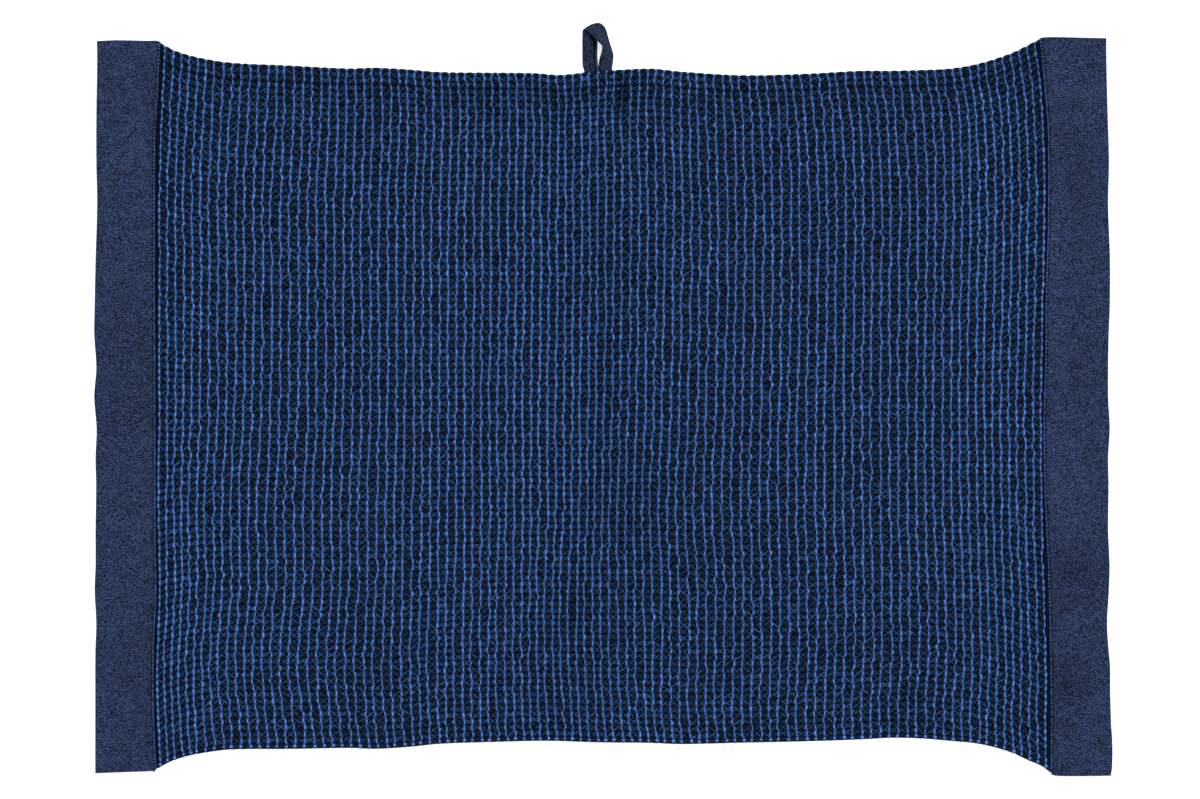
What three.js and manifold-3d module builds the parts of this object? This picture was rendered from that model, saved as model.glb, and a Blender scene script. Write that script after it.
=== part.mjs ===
// A honeycomb-weave hand towel lying flat, with a plain band turned under as a hem at each end
// and a small hanging loop of folded tape sewn under the middle of its top long edge.
// Millimetres. X runs along the towel, Y across it towards the loop, Z up from the surface it lies on.

import * as THREE from 'three';
import { mergeVertices } from 'three/addons/utils/BufferGeometryUtils.js';
import Module from 'manifold-3d';

// The long edges, one row for each place where the outline changes: the wide bands at both ends,
// the shoulders where the weave draws in, and the slow waves between them
const longEdges = [
  { x: -351.7, top: 247.6, bottom: -258.3 },
  { x: -337.1, top: 248.3, bottom: -257.7 },
  { x: -320.5, top: 248.0, bottom: -257.1 },
  { x: -311.5, top: 247.8, bottom: -256.7 },
  { x: -308.1, top: 247.0, bottom: -255.0 },
  { x: -303.9, top: 244.3, bottom: -252.5 },
  { x: -298.4, top: 241.7, bottom: -249.9 },
  { x: -289.4, top: 238.6, bottom: -247.0 },
  { x: -279.0, top: 235.9, bottom: -244.4 },
  { x: -258.3, top: 232.9, bottom: -242.0 },
  { x: -216.8, top: 230.9, bottom: -241.6 },
  { x: -175.3, top: 228.7, bottom: -241.3 },
  { x: -133.8, top: 228.1, bottom: -240.1 },
  { x: -113.0, top: 226.4, bottom: -238.0 },
  { x: -71.5, top: 225.7, bottom: -236.6 },
  { x: -30.0, top: 224.2, bottom: -236.5 },
  { x: -3.7, top: 226.8, bottom: -237.0 },
  { x: 32.2, top: 228.7, bottom: -237.4 },
  { x: 53.0, top: 226.7, bottom: -238.2 },
  { x: 94.5, top: 224.2, bottom: -237.3 },
  { x: 136.0, top: 224.3, bottom: -236.6 },
  { x: 177.5, top: 227.0, bottom: -235.0 },
  { x: 198.2, top: 227.2, bottom: -233.9 },
  { x: 219.0, top: 227.8, bottom: -234.3 },
  { x: 239.7, top: 228.8, bottom: -236.0 },
  { x: 260.5, top: 232.5, bottom: -238.2 },
  { x: 281.2, top: 239.2, bottom: -243.7 },
  { x: 293.7, top: 245.2, bottom: -249.4 },
  { x: 302.0, top: 249.6, bottom: -253.9 },
  { x: 308.9, top: 250.5, bottom: -258.8 },
  { x: 315.8, top: 250.5, bottom: -260.1 },
  { x: 333.1, top: 250.0, bottom: -260.1 },
  { x: 351.8, top: 249.6, bottom: -259.9 },
];

// The short edges, where the bands fold over to the back, as wavy as they lie
const shortEdges = [
  { y: -259.7, left: -351.0, right: 351.7 },
  { y: -209.2, left: -351.0, right: 350.8 },
  { y: -181.6, left: -350.9, right: 350.6 },
  { y: -171.9, left: -350.7, right: 348.8 },
  { y: -140.1, left: -350.8, right: 349.0 },
  { y: -112.4, left: -350.3, right: 350.2 },
  { y: -70.9, left: -350.3, right: 349.6 },
  { y: -29.4, left: -350.2, right: 349.7 },
  { y: -1.7, left: -351.6, right: 350.1 },
  { y: 25.9, left: -350.1, right: 349.3 },
  { y: 53.6, left: -351.7, right: 350.0 },
  { y: 95.1, left: -350.6, right: 350.6 },
  { y: 138.0, left: -349.6, right: 349.2 },
  { y: 179.5, left: -350.2, right: 349.4 },
  { y: 214.1, left: -349.5, right: 348.3 },
  { y: 250.7, left: -350.0, right: 347.7 },
];

// Where the bands end beside the honeycomb
const bandEnds = [
  { y: -258, left: -309.0, right: 309.0 },
  { y: -213, left: -310.8, right: 309.1 },
  { y: -168, left: -310.9, right: 308.5 },
  { y: -137, left: -309.3, right: 307.7 },
  { y: -107, left: -309.8, right: 306.7 },
  { y: -61, left: -309.8, right: 304.6 },
  { y: -15, left: -310.0, right: 304.1 },
  { y: 30, left: -310.1, right: 305.4 },
  { y: 76, left: -310.4, right: 305.7 },
  { y: 121, left: -310.4, right: 307.1 },
  { y: 182, left: -310.0, right: 307.1 },
  { y: 213, left: -308.2, right: 304.9 },
  { y: 250, left: -306.5, right: 301.5 },
];

// The ribs of the honeycomb weave run from long edge to long edge. Each row gives a rib's place at
// mid-width, and how far it leans over at each share of the width, from the bottom edge to the top
const ribCount = 103;
const leanShares = [0, 0.05, 0.13, 0.25, 0.35, 0.5, 0.7, 0.8, 0.92, 1];
const ribPlaces = [
  { rib: 0, x: -307.1, leans: [0.0, -1.3, -1.6, 0.5, -0.5, 0, 0.0, 0.2, 1.8, 3.6] },
  { rib: 5, x: -279.0, leans: [-0.8, -2.8, -4.3, -1.4, -2.2, 0, 0.9, 0.3, 2.5, 4.8] },
  { rib: 12, x: -236.4, leans: [-1.2, -3.2, -6.3, -2.3, -3.1, 0, 1.1, 0.6, 3.5, 4.8] },
  { rib: 20, x: -185.9, leans: [-0.8, -3.2, -5.7, -2.2, -2.6, 0, 0.2, 0.0, 2.4, 2.3] },
  { rib: 30, x: -125.1, leans: [-0.2, -1.9, -2.6, -1.2, -0.9, 0, 0.0, 0.3, 1.9, 0.7] },
  { rib: 40, x: -67.4, leans: [1.1, -0.2, -0.8, -0.3, 0.2, 0, 1.2, 1.1, 2.3, 1.1] },
  { rib: 48, x: -21.9, leans: [1.1, -0.6, -2.5, -2.2, -0.2, 0, 1.3, 1.1, 1.5, 0.5] },
  { rib: 54, x: 11.4, leans: [2.3, 0.0, -1.4, -1.8, -1.7, 0, 1.4, 1.6, 0.8, 2.5] },
  { rib: 62, x: 58.5, leans: [2.0, -0.3, 0.1, -0.1, -2.3, 0, 1.9, 2.4, 0.9, 0.2] },
  { rib: 72, x: 121.4, leans: [0.6, -0.9, 0.5, 0.7, -0.9, 0, 1.8, 1.7, 0.2, -3.6] },
  { rib: 84, x: 197.4, leans: [0.1, -0.2, 1.8, 1.2, 0.3, 0, 0.8, 1.2, -1.1, -6.0] },
  { rib: 92, x: 245.8, leans: [1.8, 2.0, 3.3, 2.3, 0.9, 0, 1.3, 2.1, 0.2, -4.9] },
  { rib: 102, x: 302.5, leans: [3.5, 2.9, 3.3, 1.7, 0.5, 0, 1.8, 2.3, 0.1, -4.4] },
];
const ribHeight = 3.0;
const furrowHeight = 2.2;
const scallop = 0.3;

// Soft swells and troughs of the cloth: the old fold that comes down from the loop and bends to the
// left lower down, the drawn-in strips beside the hems, and the cloth that rides over the loop's ends
const folds = [
  { x: 6, y: 90, lean: 0, length: 170, width: 11, rise: -0.6 },
  { x: -15, y: 90, lean: 0, length: 170, width: 10, rise: 0.3 },
  { x: 28, y: 100, lean: 0, length: 160, width: 11, rise: 0.3 },
  { x: -32, y: -145, lean: -9, length: 85, width: 13, rise: -0.6 },
  { x: -58, y: -150, lean: -9, length: 80, width: 12, rise: 0.3 },
  { x: -6, y: -140, lean: -9, length: 80, width: 12, rise: 0.3 },
  { x: -300, y: 0, lean: 0, length: 500, width: 7, rise: -0.4 },
  { x: 298, y: 0, lean: 0, length: 500, width: 7, rise: -0.4 },
  { x: -3.6, y: 222, lean: 0, length: 15, width: 17, rise: 1.1 },
];

// The hems: a plain band of one layer turned under to the back, with a little air between the layers
const layer = 1.0;
const air = 0.3;
const hemTop = 2 * layer + air;
const foldRadius = hemTop / 2;
const stitchInset = 1.4;
const stitchHeight = 2.0;
const grooveHeight = 1.6;
const turnedEnd = 1.4;
const rows = 16;

// The loop's tape, as its two edges, one row for each station. It comes out from under the cloth on
// the left, folds over on itself at the top, lifts off along one edge and goes back under the cloth
const tapeThickness = 1.5;
const tapeEdgeRound = 0.5;
const tapeSteps = 46;
const tapeStations = [
  { first: [-13.1, 215.5, 0.75], second: [-3.9, 215.5, 0.75] },
  { first: [-13.3, 225.8, 0.75], second: [-4.0, 226.5, 0.75] },
  { first: [-14.3, 234.8, 0.75], second: [-4.4, 234.8, 0.75] },
  { first: [-14.5, 245.2, 0.75], second: [-4.5, 245.9, 0.75] },
  { first: [-14.1, 252.1, 0.8], second: [-4.1, 256.3, 0.9] },
  { first: [-13.8, 254.8, 2.0], second: [-3.5, 259.6, 2.3] },
  { first: [-11.9, 254.8, 3.5], second: [-0.6, 258.8, 3.9] },
  { first: [-8.6, 252.1, 5.3], second: [1.9, 255.2, 4.0] },
  { first: [-4.6, 247.8, 7.2], second: [3.3, 250.0, 2.4] },
  { first: [-0.8, 243.8, 8.2], second: [5.1, 243.8, 1.3] },
  { first: [-1.0, 240.0, 7.0], second: [6.4, 239.7, 1.15] },
  { first: [-1.8, 236.2, 4.8], second: [6.6, 235.9, 0.95] },
  { first: [-2.5, 232.1, 2.2], second: [6.4, 232.1, 0.8] },
  { first: [-2.9, 228.4, 0.8], second: [6.5, 228.4, 0.75] },
  { first: [-2.7, 215.5, 0.75], second: [6.8, 215.5, 0.75] },
];
// The hollow under the cloth that takes the two sewn ends of the tape
const pocket = { left: -15.2, right: 7.6, back: 214.4, front: 234, depth: 1.85, flare: 1.2 };

const mix = THREE.MathUtils.lerp;

// A function that runs smoothly through one column of a table, with the table's own mean slopes
function smooth(table, along, column) {
  const slopes = table.map((row, i) => {
    const before = table[Math.max(i - 1, 0)];
    const after = table[Math.min(i + 1, table.length - 1)];
    return (after[column] - before[column]) / (after[along] - before[along]);
  });
  return (place) => {
    const next = table.findIndex((row) => row[along] > place);
    const i = next < 0 ? table.length - 2 : Math.max(next - 1, 0);
    const span = table[i + 1][along] - table[i][along];
    const t = THREE.MathUtils.clamp((place - table[i][along]) / span, 0, 1);
    const rise = t * t * (3 - 2 * t);
    const bend = slopes[i] * t * (1 - t) * (1 - t) - slopes[i + 1] * t * t * (1 - t);
    return mix(table[i][column], table[i + 1][column], rise) + span * bend;
  };
}

const topEdge = smooth(longEdges, 'x', 'top');
const bottomEdge = smooth(longEdges, 'x', 'bottom');
const shortEdge = { left: smooth(shortEdges, 'y', 'left'), right: smooth(shortEdges, 'y', 'right') };
const bandEnd = { left: smooth(bandEnds, 'y', 'left'), right: smooth(bandEnds, 'y', 'right') };
const ribPlace = smooth(ribPlaces, 'rib', 'x');
const leansByShare = leanShares.map((share, i) => {
  const column = ribPlaces.map(({ rib, leans }) => ({ rib, lean: leans[i] }));
  return smooth(column, 'rib', 'lean');
});

// How far a rib leans over at a share v of the width
function ribLean(rib, v) {
  const column = leanShares.map((share, i) => ({ share, lean: leansByShare[i](rib) }));
  return smooth(column, 'share', 'lean')(v);
}

// The height that the folds add at a point: each is a long soft mound or trough, leaning by its angle
function foldRise(x, y) {
  let sum = 0;
  for (const fold of folds) {
    const angle = THREE.MathUtils.degToRad(fold.lean);
    const across = (x - fold.x) * Math.cos(angle) + (y - fold.y) * Math.sin(angle);
    const along = (y - fold.y) * Math.cos(angle) - (x - fold.x) * Math.sin(angle);
    sum += fold.rise * Math.exp(-((across / fold.width) ** 2) - (along / fold.length) ** 4);
  }
  return sum;
}

// A point of the cloth at a place along the towel and a share v of the way up to the top edge
function clothPoint(x, v, z) {
  return new THREE.Vector3(x, mix(bottomEdge(x), topEdge(x), v), z);
}

// A point on the honeycomb: ribs are whole numbers and the furrows between them are halves
function ribPoint(rib, v) {
  const x = ribPlace(rib) + ribLean(rib, v);
  const onRib = Number.isInteger(rib);
  const point = clothPoint(x, v, onRib ? ribHeight : furrowHeight);
  point.z += foldRise(point.x, point.y);
  point.y += (onRib ? scallop : -scallop) * (2 * v - 1) ** 9;
  return point;
}

// One hem at a share v of the width, from the end of its turned-under layer, round the fold and back
// over the top to the groove beside the first rib. Skin is the outer face and slot is the inner one
function hemSection(side, v) {
  const inward = side === 'left' ? 1 : -1;
  const { y } = clothPoint(shortEdges[0][side], v, 0);
  const edge = shortEdge[side](y);
  const end = bandEnd[side](y);
  const width = (end - edge) * inward - stitchInset;
  const at = (distance, z) => clothPoint(edge + inward * distance, v, z);
  const quarter = foldRadius * (1 - Math.SQRT1_2);
  const skin = [
    at(width - turnedEnd, 0),
    at(foldRadius, 0),
    at(quarter, quarter),
    at(0, foldRadius),
    at(quarter, hemTop - quarter),
    at(foldRadius, hemTop),
    at(width * 0.35, hemTop),
    at(width * 0.7, hemTop),
    at(width - turnedEnd, hemTop),
    at(width, stitchHeight),
    at(width + stitchInset / 2, hemTop),
    at(width + stitchInset, grooveHeight),
  ];
  const slot = [
    at(width - turnedEnd, layer),
    at(foldRadius, layer),
    at(foldRadius - air / 2, layer + air / 2),
    at(foldRadius, layer + air),
    at(width - turnedEnd + air, layer + air),
    at(width - turnedEnd + air, 0),
  ];
  return { skin, slot };
}

// The whole cloth at a share v of the width: its upper face from end to end, and both slots
function clothSection(v) {
  const left = hemSection('left', v);
  const right = hemSection('right', v);
  const ribs = [];
  for (let half = 0; half <= 2 * (ribCount - 1); half += 1) {
    ribs.push(ribPoint(half / 2, v));
  }
  const skin = [...left.skin, ...ribs, ...[...right.skin].reverse()];
  return { skin, ribs, left, right };
}

// The upper and the lower edge of the cloth's wall between the hems
function wallTop(section) {
  return [section.left.skin.at(-1), ...section.ribs, section.right.skin.at(-1)];
}

function floorEdge(section) {
  const foot = section.ribs.map((point) => new THREE.Vector3(point.x, point.y, 0));
  return [section.left.slot.at(-1), ...foot, section.right.slot.at(-1)];
}

// Collects triangles, and turns them into one closed mesh whose faces point out
class Faces {
  positions = [];

  triangle(a, b, c) {
    for (const point of [a, b, c]) {
      this.positions.push(point.x, point.y, point.z);
    }
  }

  // A ruled face between two chains of points with equal counts
  band(near, far) {
    for (let i = 0; i + 1 < near.length; i += 1) {
      this.triangle(near[i], near[i + 1], far[i + 1]);
      this.triangle(near[i], far[i + 1], far[i]);
    }
  }

  // A face that fills a closed outline, cut into triangles as seen along the axis that is left out
  fill(outline, first, second, flip) {
    const flat = outline.map((point) => new THREE.Vector2(point[first], point[second]));
    for (const [a, b, c] of THREE.ShapeUtils.triangulateShape(flat, [])) {
      const order = flip ? [a, c, b] : [a, b, c];
      this.triangle(...order.map((i) => outline[i]));
    }
  }

  geometry() {
    const loose = new THREE.BufferGeometry();
    loose.setAttribute('position', new THREE.Float32BufferAttribute(this.positions, 3));
    return mergeVertices(loose, 1e-4);
  }
}

// The towel's cloth before its underside is opened for the loop
function clothGeometry() {
  const sections = [];
  for (let row = 0; row <= rows; row += 1) {
    sections.push(clothSection(row / rows));
  }
  const faces = new Faces();
  for (let row = 0; row < rows; row += 1) {
    const near = sections[row];
    const far = sections[row + 1];
    faces.band(near.skin, far.skin);
    const underLeft = ({ left }) => [...left.slot].reverse().concat(left.skin[0]);
    const underRight = ({ right }) => [right.skin[0], ...right.slot];
    faces.band(underLeft(near), underLeft(far));
    faces.band(underRight(near), underRight(far));
  }
  for (const section of [sections[0], sections.at(-1)]) {
    const atTop = section === sections.at(-1);
    const walls = [wallTop(section), floorEdge(section)];
    faces.band(...(atTop ? walls : walls.reverse()));
    for (const { skin, slot } of [section.left, section.right]) {
      faces.fill([...skin, ...[...slot].reverse()], 'x', 'z', atTop);
    }
  }
  const floorOutline = [
    ...floorEdge(sections[0]),
    ...sections.slice(1, -1).map((section) => section.right.slot.at(-1)),
    ...floorEdge(sections.at(-1)).reverse(),
    ...sections.slice(1, -1).map((section) => section.left.slot.at(-1)).reverse(),
  ];
  faces.fill(floorOutline, 'x', 'y', true);
  return faces.geometry();
}

// The flared hollow under the top edge, as a solid to take away
function pocketGeometry() {
  const low = -1;
  const outline = new THREE.Shape([
    new THREE.Vector2(pocket.left - pocket.flare, low),
    new THREE.Vector2(pocket.right + pocket.flare, low),
    new THREE.Vector2(pocket.right, pocket.depth),
    new THREE.Vector2(pocket.left, pocket.depth),
  ]);
  const length = pocket.front - pocket.back;
  const geometry = new THREE.ExtrudeGeometry(outline, { depth: length, bevelEnabled: false });
  geometry.deleteAttribute('normal');
  geometry.deleteAttribute('uv');
  geometry.rotateX(Math.PI / 2);
  geometry.translate(0, pocket.front, 0);
  return mergeVertices(geometry, 1e-4);
}

// The tape of the loop, as a flat section with rounded edges carried along its two edge curves, and
// pressed flat where it would reach below the surface that the towel lies on
function tapeGeometry() {
  const curve = (edge) => new THREE.CatmullRomCurve3(
    tapeStations.map((station) => new THREE.Vector3(...station[edge])),
    false,
    'centripetal',
  );
  const first = curve('first');
  const second = curve('second');
  const sections = [];
  for (let step = 0; step <= tapeSteps; step += 1) {
    const t = step / tapeSteps;
    const a = first.getPoint(t);
    const b = second.getPoint(t);
    const across = b.clone().sub(a).normalize();
    const along = first.getTangent(t).add(second.getTangent(t)).normalize();
    const up = across.clone().cross(along).normalize().multiplyScalar(tapeThickness / 2);
    const shoulder = across.clone().multiplyScalar(tapeEdgeRound);
    const section = [
      a,
      a.clone().add(shoulder).add(up),
      b.clone().sub(shoulder).add(up),
      b,
      b.clone().sub(shoulder).sub(up),
      a.clone().add(shoulder).sub(up),
    ];
    for (const point of section) {
      point.z = Math.max(point.z, 0);
    }
    sections.push(section);
  }
  const faces = new Faces();
  const closed = (section) => [...section, section[0]];
  for (let step = 0; step < tapeSteps; step += 1) {
    faces.band(closed(sections[step]), closed(sections[step + 1]));
  }
  faces.fill(sections[0], 'x', 'z', false);
  faces.fill(sections.at(-1), 'x', 'z', false);
  return faces.geometry();
}

const wasm = await Module();
wasm.setup();

function solidOf(geometry) {
  const vertProperties = new Float32Array(geometry.getAttribute('position').array);
  const triVerts = new Uint32Array(geometry.getIndex().array);
  return new wasm.Manifold(new wasm.Mesh({ numProp: 3, vertProperties, triVerts }));
}

function geometryOf(solid) {
  const { vertProperties, triVerts } = solid.getMesh();
  const geometry = new THREE.BufferGeometry();
  geometry.setAttribute('position', new THREE.BufferAttribute(new Float32Array(vertProperties), 3));
  geometry.setIndex(new THREE.BufferAttribute(new Uint32Array(triVerts), 1));
  geometry.computeVertexNormals();
  return geometry;
}

const clothMaterial = new THREE.MeshStandardMaterial({ color: 0x233a66, roughness: 0.95, metalness: 0 });
const tapeMaterial = new THREE.MeshStandardMaterial({ color: 0x242d43, roughness: 0.9, metalness: 0 });

const cloth = new THREE.Mesh(
  geometryOf(solidOf(clothGeometry()).subtract(solidOf(pocketGeometry()))),
  clothMaterial,
);
cloth.name = 'towel_cloth';

const loop = new THREE.Mesh(tapeGeometry(), tapeMaterial);
loop.geometry.computeVertexNormals();
loop.name = 'hanging_loop';

const group = new THREE.Group();
group.add(cloth, loop);

// The origin is on the surface, under the middle of the box that holds towel and loop
const middle = new THREE.Box3().setFromObject(group).getCenter(new THREE.Vector3());
group.position.set(-middle.x, -middle.y, 0);

export default group;
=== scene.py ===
"""A honeycomb-weave hand towel lying flat, with a plain hem band at each end and a hanging loop."""

import math

import bpy
import numpy as np
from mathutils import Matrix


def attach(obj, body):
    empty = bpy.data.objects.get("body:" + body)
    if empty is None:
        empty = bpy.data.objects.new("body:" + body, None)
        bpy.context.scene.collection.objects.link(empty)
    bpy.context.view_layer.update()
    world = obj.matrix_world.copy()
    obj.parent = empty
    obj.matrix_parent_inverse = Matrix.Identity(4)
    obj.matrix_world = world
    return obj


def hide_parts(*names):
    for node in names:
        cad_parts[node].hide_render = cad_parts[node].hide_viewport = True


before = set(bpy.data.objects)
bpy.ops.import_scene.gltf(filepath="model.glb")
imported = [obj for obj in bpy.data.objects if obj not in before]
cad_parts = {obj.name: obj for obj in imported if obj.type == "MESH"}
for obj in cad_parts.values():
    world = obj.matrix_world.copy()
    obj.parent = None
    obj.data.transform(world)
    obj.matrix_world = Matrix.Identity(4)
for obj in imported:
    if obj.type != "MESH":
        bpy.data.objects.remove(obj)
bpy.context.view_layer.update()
MM = 0.001


# The camera hangs straight above the towel and takes in 829 mm of the table from side to side.
# Lengths in this file are millimetres, and a mesh is made metres when it is put together.
LENS = 80
SENSOR = 36
VIEW_WIDTH = 829
VIEW_MIDDLE = -2.35
CLOTH_TOP = 2.5

camera = bpy.data.objects.new("camera", bpy.data.cameras.new("camera"))
camera.data.lens = LENS
camera.data.sensor_width = SENSOR
camera.location = (VIEW_MIDDLE * MM, 0, (VIEW_WIDTH * LENS / SENSOR + CLOTH_TOP) * MM)
bpy.context.collection.objects.link(camera)
bpy.context.scene.camera = camera
bpy.context.scene.view_settings.view_transform = "Standard"


# The honeycomb ground: one length of cloth off the loom, near-black warp and blue weft, woven so that
# its ribs and rows draw up round a grid of pits. Both long edges are selvedges, drawn in beside the hems.
LONG_EDGES = np.array([  # x, top edge, bottom edge
    (-351.7, 247.6, -258.3), (-337.1, 248.3, -257.7), (-320.5, 248.0, -257.1), (-311.5, 247.8, -256.7),
    (-308.1, 247.9, -255.2), (-303.9, 245.6, -252.7), (-298.4, 242.2, -250.0), (-289.4, 238.9, -247.0),
    (-279.0, 236.3, -244.7), (-258.3, 232.9, -242.0), (-216.8, 230.9, -241.6), (-175.3, 228.8, -240.9),
    (-158.0, 229.4, -241.5), (-133.8, 228.1, -240.1), (-113.0, 226.4, -238.0), (-71.5, 225.9, -236.6),
    (-47.0, 225.6, -236.0), (-30.0, 224.4, -236.1),
    (-3.7, 226.8, -237.0), (32.2, 228.7, -237.4), (53.0, 226.7, -238.2), (94.5, 224.2, -237.3),
    (136.0, 225.0, -236.4), (177.5, 227.2, -235.0), (198.2, 227.2, -233.9), (219.0, 227.8, -234.3),
    (239.7, 228.8, -236.0), (260.5, 232.5, -238.2), (281.2, 239.2, -243.7), (293.7, 245.2, -249.4),
    (301.0, 249.4, -252.4), (304.5, 250.4, -254.4), (308.5, 250.6, -257.2), (310.7, 250.5, -259.4),
    (313.5, 250.5, -260.1), (333.1, 250.0, -260.2), (351.8, 249.6, -259.9),
])
BAND_ENDS = np.array([  # y, left band's end, right band's end
    (-258, -309.0, 309.0), (-213, -310.7, 309.1), (-168, -310.5, 308.5), (-137, -309.0, 307.7),
    (-107, -309.4, 306.7), (-61, -309.4, 304.6), (-15, -309.6, 304.1), (30, -309.7, 305.4),
    (76, -310.0, 305.7), (121, -310.0, 307.1), (182, -309.6, 307.1), (213, -307.8, 304.9),
    (250, -306.1, 301.5),
])
RIB_PLACES = np.array([  # rib, its x at mid-width
    (0, -307.1), (5, -279.0), (12, -236.4), (20, -185.9), (30, -125.1), (40, -67.4), (48, -21.9),
    (54, 11.4), (62, 58.5), (72, 121.4), (84, 197.4), (92, 245.8), (102, 302.5),
])
LEAN_SHARES = (0, 0.05, 0.13, 0.25, 0.35, 0.5, 0.7, 0.8, 0.92, 1)
RIB_LEANS = np.array([  # one row a rib of the table above, one column a share of the width
    (1.0, -0.3, -1.4, 0.5, -0.5, 0, 0.0, 0.2, 2.1, 4.2),
    (-0.8, -2.8, -4.3, -1.4, -2.2, 0, 0.9, 0.3, 2.5, 4.8),
    (-1.2, -3.2, -6.3, -2.3, -3.1, 0, 1.1, 0.6, 3.5, 4.8),
    (-0.8, -3.2, -5.7, -2.2, -2.6, 0, 0.2, 0.0, 2.4, 2.3),
    (-0.2, -1.9, -2.6, -1.2, -0.9, 0, 0.0, 0.3, 1.9, 0.7),
    (1.1, -0.2, -0.8, -0.3, 0.2, 0, 1.2, 1.1, 2.3, 1.1),
    (1.1, -0.6, -2.5, -2.2, -0.2, 0, 1.3, 1.1, 1.5, 0.5),
    (2.3, 0.0, -1.4, -1.8, -1.7, 0, 1.4, 1.6, 0.8, 2.5),
    (2.0, -0.3, 0.1, -0.1, -2.3, 0, 1.9, 2.4, 0.9, 0.2),
    (0.6, -0.9, 0.5, 0.7, -0.9, 0, 1.8, 1.7, 0.2, -3.6),
    (0.1, -0.2, 1.8, 1.2, 0.3, 0, 0.8, 1.2, -1.1, -6.0),
    (1.8, 2.0, 3.3, 2.3, 0.9, 0, 1.3, 2.1, 0.2, -4.9),
    (3.5, 2.9, 3.3, 1.7, 0.5, 0, 1.8, 2.3, 0.1, -4.4),
])
FOLDS = (  # x, y, lean in degrees, length, width, rise
    (6, 90, 0, 170, 11, -0.6), (-15, 90, 0, 170, 10, 0.3), (28, 100, 0, 160, 11, 0.3),
    (-32, -145, -9, 85, 13, -0.6), (-58, -150, -9, 80, 12, 0.3), (-6, -140, -9, 80, 12, 0.3),
    (-300, 0, 0, 500, 7, -0.4), (298, 0, 0, 500, 7, -0.4), (-3.6, 222, 0, 15, 17, 1.1),
)
EDGE_DIPS = ((1, 13, 5, -0.55), (0, 13, 5, -0.25))  # top or bottom edge, distance in from it, width, rise
RIBS = 103
ROWS = 102
BOTTOM_SELVEDGE, TOP_SELVEDGE = 0.0073, 0.0042  # shares of the width outside the first and last row
BOTTOM_EDGE, TOP_EDGE = -0.72, 0.4  # how many rows the cloth goes on past them
SCALLOP = 0.07
NODE_TOP, RIB_TOP, ROW_TOP, PIT = 2.3, 2.4, 2.2, 0.9  # heights at a crossing, rib, row and pit
EDGE_TOP = 1.5
BACK_PIT = 1.4
TUCK, TUCK_TOP = 1.5, 0.95  # how far the ground runs on under a band, and its height there
LOOP_BED, LOOP_BED_X, LOOP_BED_Y = 1.75, -3.6, 224
LOOP_BED_HALF_X, LOOP_BED_HALF_Y = 16, 12
MAP_HALF_X, MAP_HALF_Y = 352, 261


def smooth(knots, values, at):
    """Cubic Hermite curve through the values, sloped at each knot as the line between its neighbours,
    and held at its ends. Each place can have its own column of values."""
    knots, values, at = (np.asarray(a, float) for a in (knots, values, at))
    count = len(knots)
    before = np.maximum(np.arange(count) - 1, 0)
    after = np.minimum(np.arange(count) + 1, count - 1)
    run = (knots[after] - knots[before]).reshape((count,) + (1,) * (values.ndim - 1))
    slopes = (values[after] - values[before]) / run
    i = np.clip(np.searchsorted(knots, at, side="right") - 1, 0, count - 2)

    def pick(column, k):
        return column[k] if column.ndim == 1 else np.take_along_axis(column, k[None], 0)[0]

    span = knots[i + 1] - knots[i]
    t = np.clip((at - knots[i]) / span, 0, 1)
    rise = t * t * (3 - 2 * t)
    bend = pick(slopes, i) * t * (1 - t) ** 2 - pick(slopes, i + 1) * t * t * (1 - t)
    return pick(values, i) * (1 - rise) + pick(values, i + 1) * rise + span * bend


def across(x, share):
    """y at a share of the way from the bottom edge to the top edge, at that x."""
    top = smooth(LONG_EDGES[:, 0], LONG_EDGES[:, 1], x)
    bottom = smooth(LONG_EDGES[:, 0], LONG_EDGES[:, 2], x)
    return bottom + (top - bottom) * share


def share_of(row):
    """Share of the width at a row, all rows alike between the two selvedges."""
    return BOTTOM_SELVEDGE + (1 - BOTTOM_SELVEDGE - TOP_SELVEDGE) * row / ROWS


def along_edges(stripes, x, y):
    """Sum of soft stripes that follow a long edge: amount times exp(-((way in - inset)/width)^2)."""
    total = np.zeros_like(x)
    for share, inset, width, amount in stripes:
        total += amount * np.exp(-(((np.abs(y - across(x, share)) - inset) / width) ** 2))
    return total


def fold_rise(x, y):
    """Sum of long soft mounds and troughs: rise times exp(-(across/width)^2 - (along/length)^4)."""
    total = np.zeros_like(x)
    for fold_x, fold_y, lean, length, width, rise in FOLDS:
        c, s = math.cos(math.radians(lean)), math.sin(math.radians(lean))
        off = (x - fold_x) * c + (y - fold_y) * s
        along = (y - fold_y) * c - (x - fold_x) * s
        total += rise * np.exp(-((off / width) ** 2) - (along / length) ** 4)
    return total + along_edges(EDGE_DIPS, x, y)


def lie(rib, row):
    """Where a place in the weave lies: x is the rib's own place plus its lean at that share of the
    width, y is that share of the way across, z is what the soft folds add."""
    rib, row = np.broadcast_arrays(np.asarray(rib, float), np.asarray(row, float))
    share = share_of(row)
    leans = np.stack([smooth(RIB_PLACES[:, 0], RIB_LEANS[:, k], rib) for k in range(len(LEAN_SHARES))])
    x = smooth(RIB_PLACES[:, 0], RIB_PLACES[:, 1], rib) + smooth(LEAN_SHARES, leans, share)
    y = across(x, share)
    return x, y, fold_rise(x, y)


def grid_quads(rows, columns):
    """Corner numbers of the quads of a grid of points, row by row."""
    first = np.arange(rows - 1)[:, None] * columns + np.arange(columns - 1)
    return np.stack([first, first + 1, first + columns + 1, first + columns], -1).reshape(-1, 4)


def grid_rim(rows, columns):
    """Numbers of the points all the way round such a grid, and of the point after each."""
    number = np.arange(rows * columns).reshape(rows, columns)
    rim = np.concatenate([number[0], number[1:, -1], number[-1, -2::-1], number[-2:0:-1, 0]])
    return rim, np.roll(rim, -1)


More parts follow.
